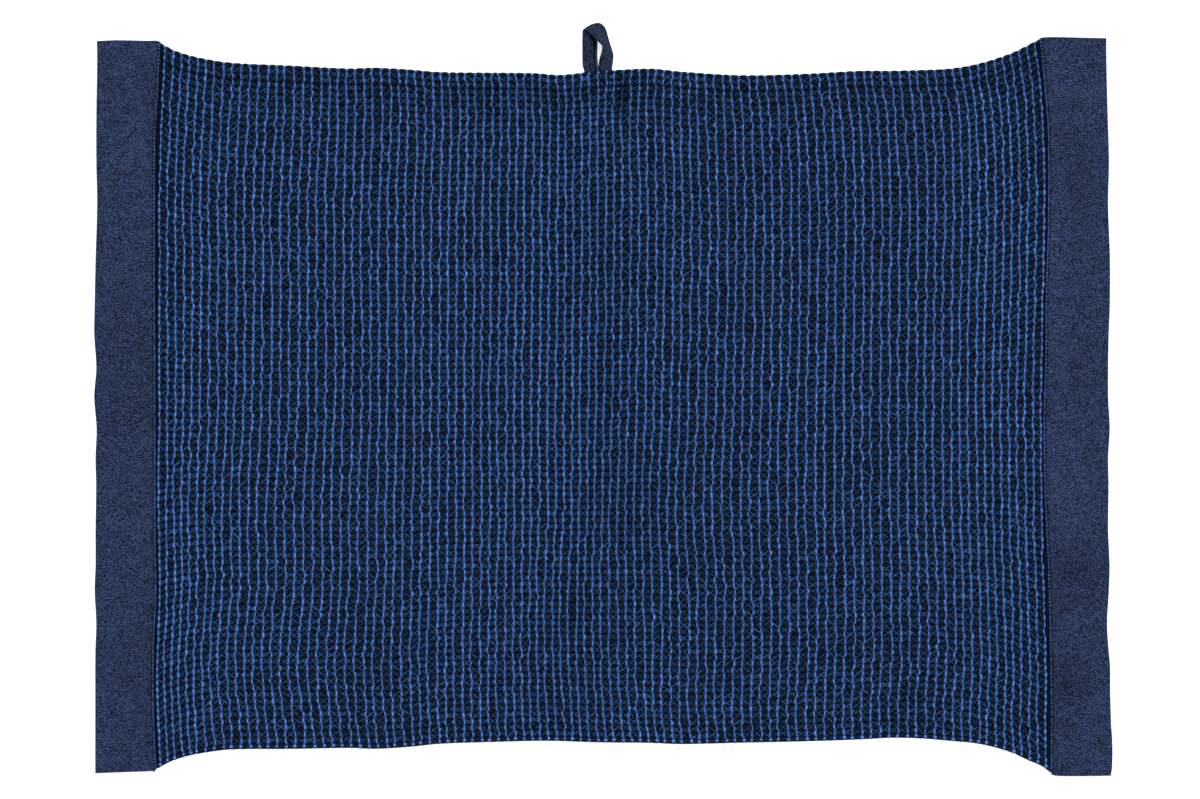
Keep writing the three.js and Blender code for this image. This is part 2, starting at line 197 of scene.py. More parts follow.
def new_piece(name, points, faces, maps, tint=None):
    """A smooth mesh object from points in mm and faces of three or four corners, with UV maps by name
    and a tint a point."""
    mesh = bpy.data.meshes.new(name)
    mesh.vertices.add(len(points))
    mesh.vertices.foreach_set("co", (points * MM).astype(np.float32).ravel())
    corners = faces.astype(np.int32).ravel()
    mesh.loops.add(len(corners))
    mesh.loops.foreach_set("vertex_index", corners)
    mesh.polygons.add(len(faces))
    mesh.polygons.foreach_set("loop_start", np.arange(0, len(corners), faces.shape[1], dtype=np.int32))
    mesh.polygons.foreach_set("use_smooth", np.ones(len(faces), bool))
    mesh.update(calc_edges=True)
    for map_name, uv in maps.items():
        layer = mesh.uv_layers.new(name=map_name)
        layer.data.foreach_set("uv", uv[corners].astype(np.float32).ravel())
    if tint is not None:
        values = tint.astype(np.float32).ravel()
        mesh.attributes.new("tint", "FLOAT", "POINT").data.foreach_set("value", values)
    piece = bpy.data.objects.new(name, mesh)
    bpy.context.collection.objects.link(piece)
    return piece


class Wire:
    """A shader socket to reckon with: each operator adds its Math node."""

    def __init__(self, tree, socket):
        self.tree = tree
        self.socket = socket

    def node(self, kind, settings, inputs, output=0):
        """Adds a node: its settings first, then a value or a wire for each of its sockets."""
        made = self.tree.nodes.new("ShaderNode" + kind)
        for name, value in settings.items():
            setattr(made, name, value)
        for name, value in inputs.items():
            if isinstance(value, Wire):
                self.tree.links.new(value.socket, made.inputs[name])
            else:
                made.inputs[name].default_value = value
        return Wire(self.tree, made.outputs[output])

    def math(self, operation, *values):
        """A Math node over this wire and the values."""
        return self.node("Math", {"operation": operation}, dict(enumerate((self, *values))))

    def attribute(self, name):
        """The number that the mesh holds for each point under that name."""
        return self.node("Attribute", {"attribute_name": name}, {}, 2)

    def sine(self):
        """The sine of this wire in radians."""
        return self.math("SINE")

    def mix(self, a, b):
        """Colour that runs from a to b as this wire goes from 0 to 1."""
        return self.node("Mix", {"data_type": "RGBA"}, {0: self, 6: a, 7: b}, 2)

    def between(self, low, high):
        """0 below low, 1 above high, smooth in between."""
        settings = {"interpolation_type": "SMOOTHSTEP"}
        return self.node("MapRange", settings, {"Value": self, "From Min": low, "From Max": high})

    def noise(self, size, detail=2.0):
        """Noise from 0 to 1 over this vector in mm, with blobs of that size."""
        return self.node("TexNoise", {}, {"Vector": self, "Scale": 1 / size, "Detail": detail})

    def parts(self, count):
        """The first parts of this vector."""
        split = self.node("SeparateXYZ", {}, {0: self}).socket.node
        return [Wire(self.tree, split.outputs[k]) for k in range(count)]

    def __add__(self, other):
        return self.math("ADD", other)

    def __sub__(self, other):
        return self.math("SUBTRACT", other)

    def __rsub__(self, other):
        return self * -1 + other

    def __mul__(self, other):
        return self.math("MULTIPLY", other)

    def __abs__(self):
        return self.math("ABSOLUTE")

    __radd__ = __add__
    __rmul__ = __mul__


def new_material(name, roughness, gloss):
    """A dull cloth material, its Principled node, a wire to its tree and Object coordinates in mm."""
    material = bpy.data.materials.new(name)
    material.use_nodes = True
    tree = material.node_tree
    shader = tree.nodes["Principled BSDF"]
    shader.inputs["Roughness"].default_value = roughness
    shader.inputs["Specular IOR Level"].default_value = gloss
    wire = Wire(tree, None)
    place = wire.node("TexCoord", {}, {}, 3)
    place = wire.node("VectorMath", {"operation": "SCALE"}, {0: place, "Scale": 1 / MM})
    return material, shader, wire, place


def scaled(wire, colour, factor):
    """The colour times the factor."""
    return wire.node("VectorMath", {"operation": "SCALE"}, {0: colour, "Scale": factor})


def dress(piece, material, node):
    """Gives a piece its finish, hangs it on the root body and hides the CAD part that it stands in for."""
    piece.data.materials.append(material)
    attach(piece, "root")
    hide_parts(node)


def ground_points():
    """Top and back of the ground on half cells: the top dips to each pit between ribs and rows, the
    back rises under each crossing and over the loop's ends, and the outer columns run on under the hem
    bands. The long edges are scalloped by a cosine a rib: the bottom one is out at each rib, and the top
    one is out between the ribs."""
    half = np.arange(-0.5, RIBS - 0.25, 0.5)
    rows = np.r_[BOTTOM_EDGE, np.arange(0, ROWS + 0.25, 0.5), ROWS + TOP_EDGE]
    rib, row = np.meshgrid(half, rows)
    row[0] -= SCALLOP * np.cos(2 * np.pi * rib[0])
    row[-1] -= SCALLOP * np.cos(2 * np.pi * rib[-1])
    x, y, rise = lie(np.clip(rib, 0, RIBS - 1), row)
    x[:, 0] = smooth(BAND_ENDS[:, 0], BAND_ENDS[:, 1], y[:, 0]) - TUCK
    x[:, -1] = smooth(BAND_ENDS[:, 0], BAND_ENDS[:, 2], y[:, -1]) + TUCK
    y = across(x, share_of(row))
    on_rib = rib % 1 == 0
    on_row = row % 1 == 0
    top = np.where(on_rib, np.where(on_row, NODE_TOP, RIB_TOP), np.where(on_row, ROW_TOP, PIT))
    top[[0, -1]] = EDGE_TOP
    top = top + rise
    top[:, [0, -1]] = TUCK_TOP
    bed_x = (x - LOOP_BED_X) / LOOP_BED_HALF_X
    bed_y = (y - LOOP_BED_Y) / LOOP_BED_HALF_Y
    over_loop = np.exp(-(bed_x ** 8) - bed_y ** 8)
    back = np.where(on_rib & on_row, BACK_PIT, 0.0)
    back[:, [0, 1, -2, -1]] = 0
    back[[0, 1, -2, -1]] = 0
    back = np.maximum(back, LOOP_BED * over_loop)
    return rib, row, x, y, top, back


def closed_slab(x, y, top, back):
    """A closed mesh from one grid of points with two heights: the top, the back turned over, and a
    wall all the way round. Each square is cut along the line from a crossing to a pit."""
    rows, columns = x.shape
    count = rows * columns
    points = np.concatenate([np.stack([x, y, z], -1).reshape(-1, 3) for z in (top, back)])
    a, b, c, d = grid_quads(rows, columns).T
    even = (a // columns + a % columns) % 2 == 0
    first = np.stack([a, b, np.where(even, c, d)], -1)
    second = np.stack([np.where(even, a, b), c, d], -1)
    face = np.concatenate([first, second])
    rim, after = grid_rim(rows, columns)
    walls = [np.stack([rim + count, after + count, after], -1), np.stack([rim + count, after, rim], -1)]
    return points, np.concatenate([face, face[:, ::-1] + count, *walls])


def towel_map(points):
    """A plain map of the towel as seen from above, from 0 to 1 along it and across it."""
    u = (points[:, 0] + MAP_HALF_X) / (2 * MAP_HALF_X)
    v = (points[:, 1] + MAP_HALF_Y) / (2 * MAP_HALF_Y)
    return np.stack([u, v], -1)


rib, row, x, y, top, back = ground_points()
points, triangles = closed_slab(x, y, top, back)
is_back = np.arange(len(points)) >= x.size  # the top and the back have a half of the map each
bake_map = towel_map(points) * (1, 0.5) + np.stack([0 * is_back, 0.5 * ~is_back], -1)
weave_map = np.tile(np.stack([rib.ravel(), row.ravel()], -1), (2, 1))
maps = {"OFBake": bake_map, "weave": weave_map}
ground = new_piece("honeycomb_ground", points, triangles, maps, is_back)

WEFT = (0.057, 0.160, 0.465, 1)
GROUND = (0.0024, 0.0035, 0.0070, 1)

# On top the ground is near black, with stray blue at the selvedges, beside the hems and round the
# middle of each pit; the blue stops short of the ribs, so beside them the ground stays black as painted
# shadow. On the back, where the tint is 1, the same weave shows half a cell on: ribs half way between
# the front ones, and threads that cross under each front crossing.
ground_cloth, shader, wire, place = new_material("honeycomb_ground", 0.95, 0.04)
weave = wire.node("UVMap", {"uv_map": "weave"}, {})
cell = wire.node("VectorMath", {"operation": "FRACTION"}, {0: weave})
cell = wire.node("VectorMath", {"operation": "SUBTRACT"}, {0: cell, 1: (0.5, 0.5, 0)})
off_rib, off_row = cell.parts(2)
off_rib = abs(off_rib) * 2
off_row = abs(off_row) * 2
pit = 1 - (off_rib * off_rib + off_row * off_row).between(0.05, 0.5)
rib_at, row_at = weave.parts(2)
selvedge = row_at.between(ROWS - 0.1, ROWS + 0.15) + 1 - row_at.between(-0.15, 0.1)
beside_hem = rib_at.between(RIBS - 0.95, RIBS - 0.7) + 1 - rib_at.between(-0.3, -0.05)
blue = place.noise(0.5, 3).between(0.5, 0.68) * (pit * 0.1 + selvedge * 0.5 + beside_hem * 0.12)
rib_mask = 1 - (off_rib - off_row * 0.1).between(0.12, 0.2)
thread_mask = (1 - abs(off_rib - off_row).between(0.06, 0.14)) * 0.6
back_blue = rib_mask.math("MAXIMUM", thread_mask)
blue = blue + (back_blue - blue) * wire.attribute("tint")
ground_cloth.node_tree.links.new(blue.mix(GROUND, WEFT).socket, shader.inputs["Base Color"])
dress(ground, ground_cloth, "towel_cloth")


# The weft floats: the soft blue yarn lies in ribs from long edge to long edge. Between two rows it
# bulges out of the cloth, and at each row the warp ties it down and draws it thin.
STRAND = (np.array([-1, -0.5, 0.5, 1]), np.array([0, 1, 1, 0]))  # side, rise of a section's points
THREAD = (np.array([-1, 0, 1]), np.array([0, 1, 0]))
FLOAT_STEPS = np.array([-1, -0.27, 0.27, 1])
THREAD_STEPS = np.array([-1, 0, 1])
RIB_NECK, RIB_SWELL = 0.25, 0.52  # half width where it is tied down, and what its bulge adds
RIB_FOOT, RIB_CROWN, RIB_BULGE = 1.9, 2.4, 0.75  # the same for its height, with that of its sides first
# Painted shade where a rib is tied down, and the painted light that its bulge adds:
RIB_NECK_SHADE, RIB_BULGE_LIGHT = 0.38, 0.98
BOTTOM_BEAD, TOP_BEAD = -0.68, 0.36  # how many rows the end beads reach past the first and last row
BOTTOM_BEAD_WIDTH, TOP_BEAD_WIDTH = 1.4, 1.1
SWAY, SLOW_SWAY, SLIP = 0.045, 0.09, 0.05
SWAY_ROWS = 9
PAINTED_SHADE_ZONES = (  # x, y, half width, half height, how much lighter; painted shade over drawn-in troughs and beside the hems, painted light on stretched places
    (-40, 205, 110, 16, -0.14), (0, 120, 22, 70, -0.18), (3, 10, 16, 50, -0.16), (18, -80, 35, 45, -0.17),
    (-25, -165, 40, 65, -0.17), (105, -175, 22, 50, -0.06), (208, -190, 25, 40, -0.08),
    (208, 130, 10, 60, -0.05), (-155, -195, 30, 40, -0.06), (300, 200, 12, 40, -0.15),
    (-304, 0, 5, 400, -0.2), (302, 0, 5, 400, -0.14), (-250, 0, 45, 110, 0.05), (163, -85, 30, 30, 0.07),
    (125, -20, 40, 30, 0.04), (268, 90, 30, 110, 0.06), (12.5, 212, 3, 18, -0.6),
)
EDGE_SHADES = (  # top or bottom edge, distance in from it, width, how much lighter; painted shade along the dip about 12 mm in from each edge, and along the top edge a lighter first row and darker cloth further in
    (1, 1, 1.2, 0.4), (1, 11.4, 1.3, -0.5), (1, 19, 7, -0.12), (1, 5, 3, -0.1), (0, 11.4, 1.3, -0.3),
)


def shade(zones, x, y):
    """One plus the sum of soft zones: amount times exp(-(dx/width)^2 - (dy/height)^2)."""
    total = np.ones_like(x)
    for zone_x, zone_y, width, height, amount in zones:
        total += amount * np.exp(-(((x - zone_x) / width) ** 2) - ((y - zone_y) / height) ** 2)
    return total


def strands(name, rib, row, half_width, foot, crown, section, tint):
    """Many short yarns at once: each is a centreline in ribs and rows, with a low rounded section set
    square to it. Point = place in the weave + side * half width * normal, foot + rise * (crown - foot)."""
    side, rise = section
    x, y, lift = lie(rib, row)
    run_x = x[:, -1:] - x[:, :1]
    run_y = y[:, -1:] - y[:, :1]
    length = np.hypot(run_x, run_y)
    wide = half_width[..., None] * side
    points = np.stack([
        x[..., None] + wide * (run_y / length)[..., None],
        y[..., None] - wide * (run_x / length)[..., None],
        (lift + foot)[..., None] + (crown - foot)[..., None] * rise,
    ], -1)
    count, stations, sides = points.shape[:3]
    one = grid_quads(stations, sides)
    quads = (np.arange(count)[:, None, None] * stations * sides + one).reshape(-1, 4)
    points = points.reshape(-1, 3)
    # Painted light and shade: darker over troughs and beside the hems, lighter on stretched places, and
    # stripes along the long edges.
    light = shade(PAINTED_SHADE_ZONES, x, y) + along_edges(EDGE_SHADES, x, y)
    tint = np.broadcast_to((tint * light)[..., None], (count, stations, sides))
    return new_piece(name, points, quads, {"OFBake": towel_map(points)}, tint)


rng = np.random.default_rng(11)


def uneven(size, *shape):
    """Seeded unevenness with that spread and no far outliers, as hand and loom leave it."""
    return np.clip(rng.normal(0, size, shape), -2 * size, 2 * size)


# Every crossing of a rib and a row sits a little off its place, and all the yarns that meet there share
# it: sway along the towel in ribs, of which a part changes slowly from row to row, and slip in rows
slow = np.cumsum(uneven(SLOW_SWAY, RIBS, ROWS + 1 + SWAY_ROWS), 1)
sway = uneven(SWAY, RIBS, ROWS + 1) + (slow[:, SWAY_ROWS:] - slow[:, :-SWAY_ROWS]) / SWAY_ROWS
slip = uneven(SLIP, RIBS, ROWS + 1)


def crossings(rib, row):
    """Ribs and rows of the crossings, each with its sway and slip."""
    return rib + sway[rib, row], row + slip[rib, row]


def between_crossings(start, end, steps):
    """Ribs and rows of the stations from one crossing to another, steps running from -1 to 1."""
    return [a[:, None] + (b - a)[:, None] * (steps + 1) / 2 for a, b in zip(start, end)]


def each(ribs, rows):
    """Every pair of a rib and a row, both ranges given as start, end and step, as two flat arrays."""
    return (a.ravel() for a in np.meshgrid(np.arange(*ribs), np.arange(*rows)))


def rib_floats():
    """One bulging float for each rib between each two rows, and a short bead at both long edges. Half
    width, crown and tint each run as a + b * bulge, where bulge is 1 - step^2: the tint is painted shade
    where the rib is tied down and painted light on its bulge."""
    rib, row = each((0, RIBS), (0, ROWS))
    ribs, rows = between_crossings(crossings(rib, row), crossings(rib, row + 1), FLOAT_STEPS)
    end_rib, end_row = each((0, RIBS), (0, ROWS + 1, ROWS))
    start = crossings(end_rib, end_row)
    end = start[0], start[1] + np.where(end_row == 0, BOTTOM_BEAD, TOP_BEAD)
    bead_ribs, bead_rows = between_crossings(start, end, FLOAT_STEPS * np.ones((len(end_rib), 1)))
    ribs, rows = np.concatenate([ribs, bead_ribs]), np.concatenate([rows, bead_rows])
    rib = np.concatenate([rib, end_rib])
    count = len(rib)
    bulge = 1 - FLOAT_STEPS ** 2
    ribs = ribs + bulge * uneven(0.06, count, 1)
    half = (RIB_NECK + RIB_SWELL * bulge) * (1 + uneven(0.13, count, 1))
    half[-len(end_rib):] *= np.where(end_row == 0, BOTTOM_BEAD_WIDTH, TOP_BEAD_WIDTH)[:, None]
    crown = RIB_CROWN + RIB_BULGE * bulge + bulge * uneven(0.08, count, 1)
    shades = np.exp(uneven(0.13, count) + uneven(0.04, RIBS)[rib])
    tint = shades[:, None] * (RIB_NECK_SHADE + RIB_BULGE_LIGHT * bulge)
    foot = np.full_like(crown, RIB_FOOT)
    return strands("weft_ribs", ribs, rows, half, foot, crown, STRAND, tint)


weft_yarn, shader, wire, place = new_material("weft_yarn", 0.85, 0.12)
# The tint holds each yarn's own tone times the painted light and shade.
level = wire.attribute("tint") * (0.65 + place.noise(0.5) * 0.7)
weft_yarn.node_tree.links.new(scaled(wire, WEFT[:3], level).socket, shader.inputs["Base Color"])

ribs = rib_floats()
dress(ribs, weft_yarn, "towel_cloth")


# The crossing threads: between the ribs the same weft is pulled thin, and crosses over the pit of each
# cell from corner to corner.
THREAD_HALF, THREAD_PULL = 0.25, 0.04
THREAD_CROWN, THREAD_SAG, THREAD_DEPTH = 2.55, 0.75, 0.5  # height, what the sag takes off, thickness
# The threads' tint: painted shade, darker the further a thread sags into the pit.
THREAD_TINT, THREAD_SAG_SHADE = 1.2, 0.55


def pit_threads():
    """Two diagonals a cell from crossing to crossing, which sag to just above the pit. Half width, crown
    and tint each run as a - b * sag, where sag is 1 - step^2: the tint is painted shade, darker the
    further the thread sags into the pit."""
    cell, row = each((0, RIBS - 1), (0, ROWS))
    sag = 1 - THREAD_STEPS ** 2
    rising = between_crossings(crossings(cell, row), crossings(cell + 1, row + 1), THREAD_STEPS)
    falling = between_crossings(crossings(cell, row + 1), crossings(cell + 1, row), THREAD_STEPS)
    ribs, rows = (np.concatenate(pair) for pair in zip(rising, falling))
    count = len(ribs)
    ribs = ribs + sag * uneven(0.07, count, 1)
    rows = rows + sag * uneven(0.1, count, 1)
    half = (THREAD_HALF - THREAD_PULL * sag) * (1 + uneven(0.2, count, 1))
    crown = THREAD_CROWN - THREAD_SAG * sag + sag * uneven(0.15, count, 1)
    tint = np.exp(-0.3 + uneven(0.3, count, 1)) * (THREAD_TINT - THREAD_SAG_SHADE * sag)
    return strands("weft_threads", ribs, rows, half, crown - THREAD_DEPTH, crown, THREAD, tint)


threads = pit_threads()
dress(threads, weft_yarn, "towel_cloth")


# The warp floats: near-black yarn crosses each row from rib to rib in a small bundle, one full float
# on the row and a thinner one on either side of it. Along both selvedges it runs round the rib ends.
WARP = (0.0066, 0.0068, 0.0084, 1)
FLOAT_REACH, FLOAT_END, FLOAT_SWELL = 0.86, 0.28, 0.4  # share of the cell, half width, added half way
FLOAT_CROWN, FLOAT_BULGE, FLOAT_DEPTH = 2.25, 0.5, 0.8  # height, added half way, thickness
OUTER_ROW_WIDTH, EDGE_FLOAT_WIDTH = 0.5, 0.4
EDGE_INSET, EDGE_BOW, TOP_EDGE_LIFT = 0.75, 0.24, 0.4
SIDE_REACH, SIDE_END, SIDE_SWELL = 0.58, 0.22, 0.31
SIDE_CROWN, SIDE_BULGE, SIDE_DEPTH = 2.0, 0.55, 0.7
SIDE_OFFSET = 0.21


def row_floats():
    """The full float on every row, from rib to rib, widest and highest half way, slimmer on the first
    and last row, and the thin outermost one that bows out between the rib ends. Half width and crown run
    as a + b * bulge, where bulge is 1 - step^2."""
    cell, row = each((0, RIBS - 1), (0, ROWS + 1))
    steps = FLOAT_STEPS * FLOAT_REACH
    ribs, rows = between_crossings(crossings(cell, row), crossings(cell + 1, row), steps)
    edge_cell, edge_row = each((0, RIBS - 1), (0, ROWS + 1, ROWS))
    out = np.where(edge_row == 0, BOTTOM_EDGE, TOP_EDGE)[:, None]
    bulge = 1 - FLOAT_STEPS ** 2
    edge_ribs, edge_rows = between_crossings(
        crossings(edge_cell, edge_row), crossings(edge_cell + 1, edge_row), FLOAT_STEPS
    )
    edge_rows = edge_row[:, None] + out * (EDGE_INSET + EDGE_BOW * bulge)
    ribs, rows = np.concatenate([ribs, edge_ribs]), np.concatenate([rows, edge_rows])
    count = len(ribs)
    half = FLOAT_END + FLOAT_SWELL * bulge + bulge * uneven(0.07, count, 1)
    half[:len(cell)] *= np.where(row % ROWS == 0, OUTER_ROW_WIDTH, 1)[:, None]
    half[-len(edge_cell):] *= EDGE_FLOAT_WIDTH
    crown = FLOAT_CROWN + FLOAT_BULGE * bulge + bulge * uneven(0.08, count, 1)
    crown[-len(edge_cell):] += TOP_EDGE_LIFT * (edge_row[:, None] > 0)
    tint = np.exp(uneven(0.28, count, 1)) * np.ones_like(FLOAT_STEPS)
    return strands("warp_floats", ribs, rows, half, crown - FLOAT_DEPTH, crown, STRAND, tint)


def side_floats():
    """Two thinner floats a cell, one on either side of the row, with half width and crown as those of
    the full float."""
    cell, row = each((0, RIBS - 1), (0, ROWS))
    steps = THREAD_STEPS * SIDE_REACH
    ribs, rows = between_crossings(crossings(cell, row), crossings(cell + 1, row), steps)
    ribs, rows = np.tile(ribs, (2, 1)), np.concatenate([rows + SIDE_OFFSET, rows + 1 - SIDE_OFFSET])
    count = len(ribs)
    bulge = 1 - THREAD_STEPS ** 2
    ribs = ribs + uneven(0.02, count, 1)
    rows = rows + uneven(0.03, count, 1)
    half = SIDE_END + SIDE_SWELL * bulge * (1 + uneven(0.2, count, 1))
    crown = SIDE_CROWN + SIDE_BULGE * bulge + bulge * uneven(0.1, count, 1)
    tint = np.exp(-0.1 + uneven(0.3, count, 1)) * np.ones_like(THREAD_STEPS)
    return strands("warp_side_floats", ribs, rows, half, crown - SIDE_DEPTH, crown, THREAD, tint)


warp_yarn, shader, wire, place = new_material("warp_yarn", 0.9, 0.05)
# The tint holds each yarn's own tone times the painted light and shade.
level = wire.attribute("tint") * (0.5 + place.noise(0.45))
specks = place.noise(1, 3).between(0.54, 0.66) * 0.09
colour = specks.mix(scaled(wire, WARP[:3], level), WEFT)
warp_yarn.node_tree.links.new(colour.socket, shader.inputs["Base Color"])

row_bundle = row_floats()
dress(row_bundle, warp_yarn, "towel_cloth")
side_bundle = side_floats()
dress(side_bundle, warp_yarn, "towel_cloth")


# The hems: a plain-woven band at each end of the cloth, turned under to the back in one fold and
# stitched down close to the honeycomb. The stitches pull a small furrow and leave a narrow lip.
SHORT_EDGES = np.array([  # y, left fold, right fold
    (-259.7, -351.3, 351.0), (-254, -351.3, 351.7), (-243, -351.3, 352.0), (-233, -351.3, 351.7),
    (-225, -351.3, 351.1), (-204, -351.3, 350.5), (-184, -351.3, 350.3),
    (-173, -351.2, 349.3), (-155, -350.6, 348.3), (-132, -351.7, 349.5), (-115, -351.1, 350.0),
    (-90, -351.1, 349.0), (-60, -350.7, 349.3), (-40, -351.1, 349.0), (-20, -350.4, 350.1),
    (2, -352.0, 349.0), (22, -350.6, 349.0), (45, -352.0, 349.4), (62, -351.8, 350.1),
    (96, -351.1, 350.3), (135, -350.0, 349.0), (165, -350.6, 349.6), (200, -350.5, 348.6),
    (235, -350.0, 347.8), (250.7, -350.3, 347.8),
])
LAYER = 1.0
AIR = 0.3
MIDDLE_RADIUS = (LAYER + AIR) / 2
FOLD_MIDDLE = LAYER + AIR / 2
TURNED_END = 1.4
LIP = 1.4
LIP_THIN = 0.32
HEM_ROWS = 391
BACK_POINTS, TURN_POINTS, TOP_POINTS = 4, 9, 8
DIPS = np.array([0.0, -0.1, -0.3, -0.14, 0.0, -0.25])  # of the band's last points, across furrow and lip
# Painted shade down into the furrow and painted light on the lip, for the same points as the dips.
DIP_SHADE_AND_LIGHT = (0.95, 0.78, 0.5, 1.1, 1.6, 1.2)
FURROW_SHADE, FURROW_SHADE_WIDTH = 0.08, 5
RIPPLE, RIPPLE_LONG, RIPPLE_SHORT = 0.05, 17, 6.3
STITCH_RIPPLE, STITCH_LIGHT = 0.07, 0.35
DARK_INSET, LIGHT_INSET = 1.5, 0.5
DARK_HALF, LIGHT_HALF, BAR_SWELL = 0.45, 0.18, 0.26
# All the bars are the blue weft yarn: the thread bar in the furrow is painted near black as shade, and the
# loop over the lip lighter as lit.
SHADED_BAR_TINT, LIT_BAR_TINT = 0.03, 0.62
BAR_FOOT, BAR_RISE, BAR_BULGE = 1.9, 0.25, 0.35
BAND_SHADES = (  # x, y, half width, half height, how much lighter
    (325, 165, 14, 30, -0.18), (325, 10, 20, 20, -0.15), (325, -120, 22, 20, -0.25),
    (322, -195, 16, 18, -0.35), (325, 225, 16, 15, 0.1), (322, -65, 12, 25, 0.12),
    (-330, 15, 22, 45, -0.15), (-325, -190, 20, 60, -0.1), (-330, 150, 20, 40, 0.05),
    (-320, 210, 15, 20, -0.08), (311, 75, 7, 120, 0.25),
)


def hem_points(column, inward):
    """The band's middle surface carried along the hem, and its inside and outside half a layer off it:
    out along the back, half a turn round the fold, and in over the top to the furrow of stitches and the
    lip. Every other row of points stands a little higher there, as between two stitches. The tint a point
    is painted shade near and in the furrow, and painted light on the lip and on the higher rows."""
    share = np.linspace(0, 1, HEM_ROWS)[:, None]
    outer = LONG_EDGES[0 if inward > 0 else -1, 0]
    y = across(np.full_like(share, outer), share)
    edge = smooth(SHORT_EDGES[:, 0], SHORT_EDGES[:, column], y)
    end = smooth(BAND_ENDS[:, 0], BAND_ENDS[:, column], y)
    width = (end - edge) * inward - LIP
    back = np.linspace(1, 0, BACK_POINTS)[:-1]
    turn = np.radians(np.linspace(-90, 90, TURN_POINTS))
    top = np.linspace(0, 1, TOP_POINTS)[1:]
    close = np.array([0.35, 0.7, 1.0])
    far = width - TURNED_END
    distance = np.concatenate([
        FOLD_MIDDLE + back * (far - FOLD_MIDDLE),
        FOLD_MIDDLE - MIDDLE_RADIUS * np.cos(turn) + 0 * share,
        FOLD_MIDDLE + top * (far - FOLD_MIDDLE),
        far + close * TURNED_END,
        width + LIP * np.array([0.3, 0.62, 0.9]),
    ], 1)
    stitch = np.where(np.arange(HEM_ROWS) % 2, -1, 1)[:, None]
    upper = LAYER * 1.5 + AIR
    middle = np.concatenate([
        np.full(len(back), LAYER / 2) + 0 * share,
        FOLD_MIDDLE + MIDDLE_RADIUS * np.sin(turn) + 0 * share,
        np.full(len(top), upper) + 0 * share,
        upper + DIPS + 0 * share,
    ], 1)
    middle[:, -4:-1] += STITCH_RIPPLE * stitch
    run = np.gradient(distance, axis=1)
    climb = np.gradient(middle, axis=1)
    length = np.hypot(run, climb)
    thin = np.full(distance.shape[1], LAYER / 2)
    thin[-1] = LAYER * LIP_THIN
    faces = []
    for sign in (1, -1):
        off = distance + sign * thin * climb / length
        height = np.maximum(middle - sign * thin * run / length, 0)
        x = edge + inward * off
        ripple = np.sin(y / RIPPLE_LONG + column) * np.sin(y / RIPPLE_SHORT) * RIPPLE
        faces.append(np.stack([x, across(x, share), height + ripple * (height > LAYER)], -1))
    # Painted shade near the furrow and deepest in it, painted light on the lip, and the higher rows
    # between stitches painted lighter.
    near_furrow = np.exp(-(((width - distance) / FURROW_SHADE_WIDTH) ** 2)) * (middle > LAYER)
    tint = 1 - FURROW_SHADE * near_furrow
    tint[:, -len(DIPS):] *= DIP_SHADE_AND_LIGHT
    tint[:, -3:] *= 1 + STITCH_LIGHT * stitch
    return *faces, tint


def hem(name, column, inward):
    """One closed hem: the inside and the outside of the turned band, and a wall all the way round. The
    right one mirrors the left one, so its faces are turned round."""
    inside, outside, light = hem_points(column, inward)
    rows, columns = inside.shape[:2]
    count = rows * columns
    face = grid_quads(rows, columns)
    rim, after = grid_rim(rows, columns)
    wall = np.stack([after, after + count, rim + count, rim], -1)
    quads = np.concatenate([face[:, ::-1], face + count, wall])
    if inward < 0:
        quads = quads[:, ::-1]
    points = np.concatenate([inside.reshape(-1, 3), outside.reshape(-1, 3)])
    upper = points[:, 2] > FOLD_MIDDLE
    u = (points[:, 0] - points[:, 0].min()) / np.ptp(points[:, 0])
    bake_map = np.stack([u * 0.5 + 0.5 * ~upper, towel_map(points)[:, 1]], -1)
    tint = shade(BAND_SHADES, points[:, 0], points[:, 1]) * np.tile(light.ravel(), 2)
    return new_piece(name, points, quads, {"OFBake": bake_map}, tint)


def stitches(name, column, inward):
    """Two kinds of small rounded bars in turn along a hem, both of the blue weft yarn: thread that dips
    into the furrow, painted near black as shade there, and a loop pulled over the lip between each two
    of them, painted lighter as lit. Half width and height each run as a + b * bulge, where bulge is
    1 - step^2."""
    outer = LONG_EDGES[0 if inward > 0 else -1, 0]
    number = np.arange(1, HEM_ROWS - 1)[:, None]
    count = len(number)
    dark = number % 2
    share = (number + uneven(0.15, count, 1) + FLOAT_STEPS * 0.5) / (HEM_ROWS - 1)
    y = across(np.full_like(share, outer), share)
    end = smooth(BAND_ENDS[:, 0], BAND_ENDS[:, column], y)
    side, rise = STRAND
    bulge = 1 - FLOAT_STEPS ** 2
    inset = np.where(dark, DARK_INSET, LIGHT_INSET) + uneven(0.06, count, 1)
    half = np.where(dark, DARK_HALF, LIGHT_HALF) + BAR_SWELL * bulge
    x = (end - inward * inset)[..., None] + half[..., None] * side
    z = BAR_FOOT + (BAR_RISE + BAR_BULGE * bulge)[:, None] * rise + 0 * x
    points = np.stack([x, y[..., None] + 0 * x, z], -1).reshape(-1, 3)
    bar_points = len(bulge) * len(side)
    quads = np.arange(count)[:, None, None] * bar_points + grid_quads(len(bulge), len(side))
    shades = np.where(dark, SHADED_BAR_TINT, LIT_BAR_TINT) * np.exp(uneven(0.35, count, 1))
    tint = np.repeat(shades, bar_points)
    return new_piece(name, points, quads.reshape(-1, 4), {"OFBake": towel_map(points)}, tint)


BAND_BLUE = (0.0515, 0.0885, 0.226, 1)
BAND_DARK = (0.006, 0.007, 0.012, 1)
YARN_PITCH = 0.95

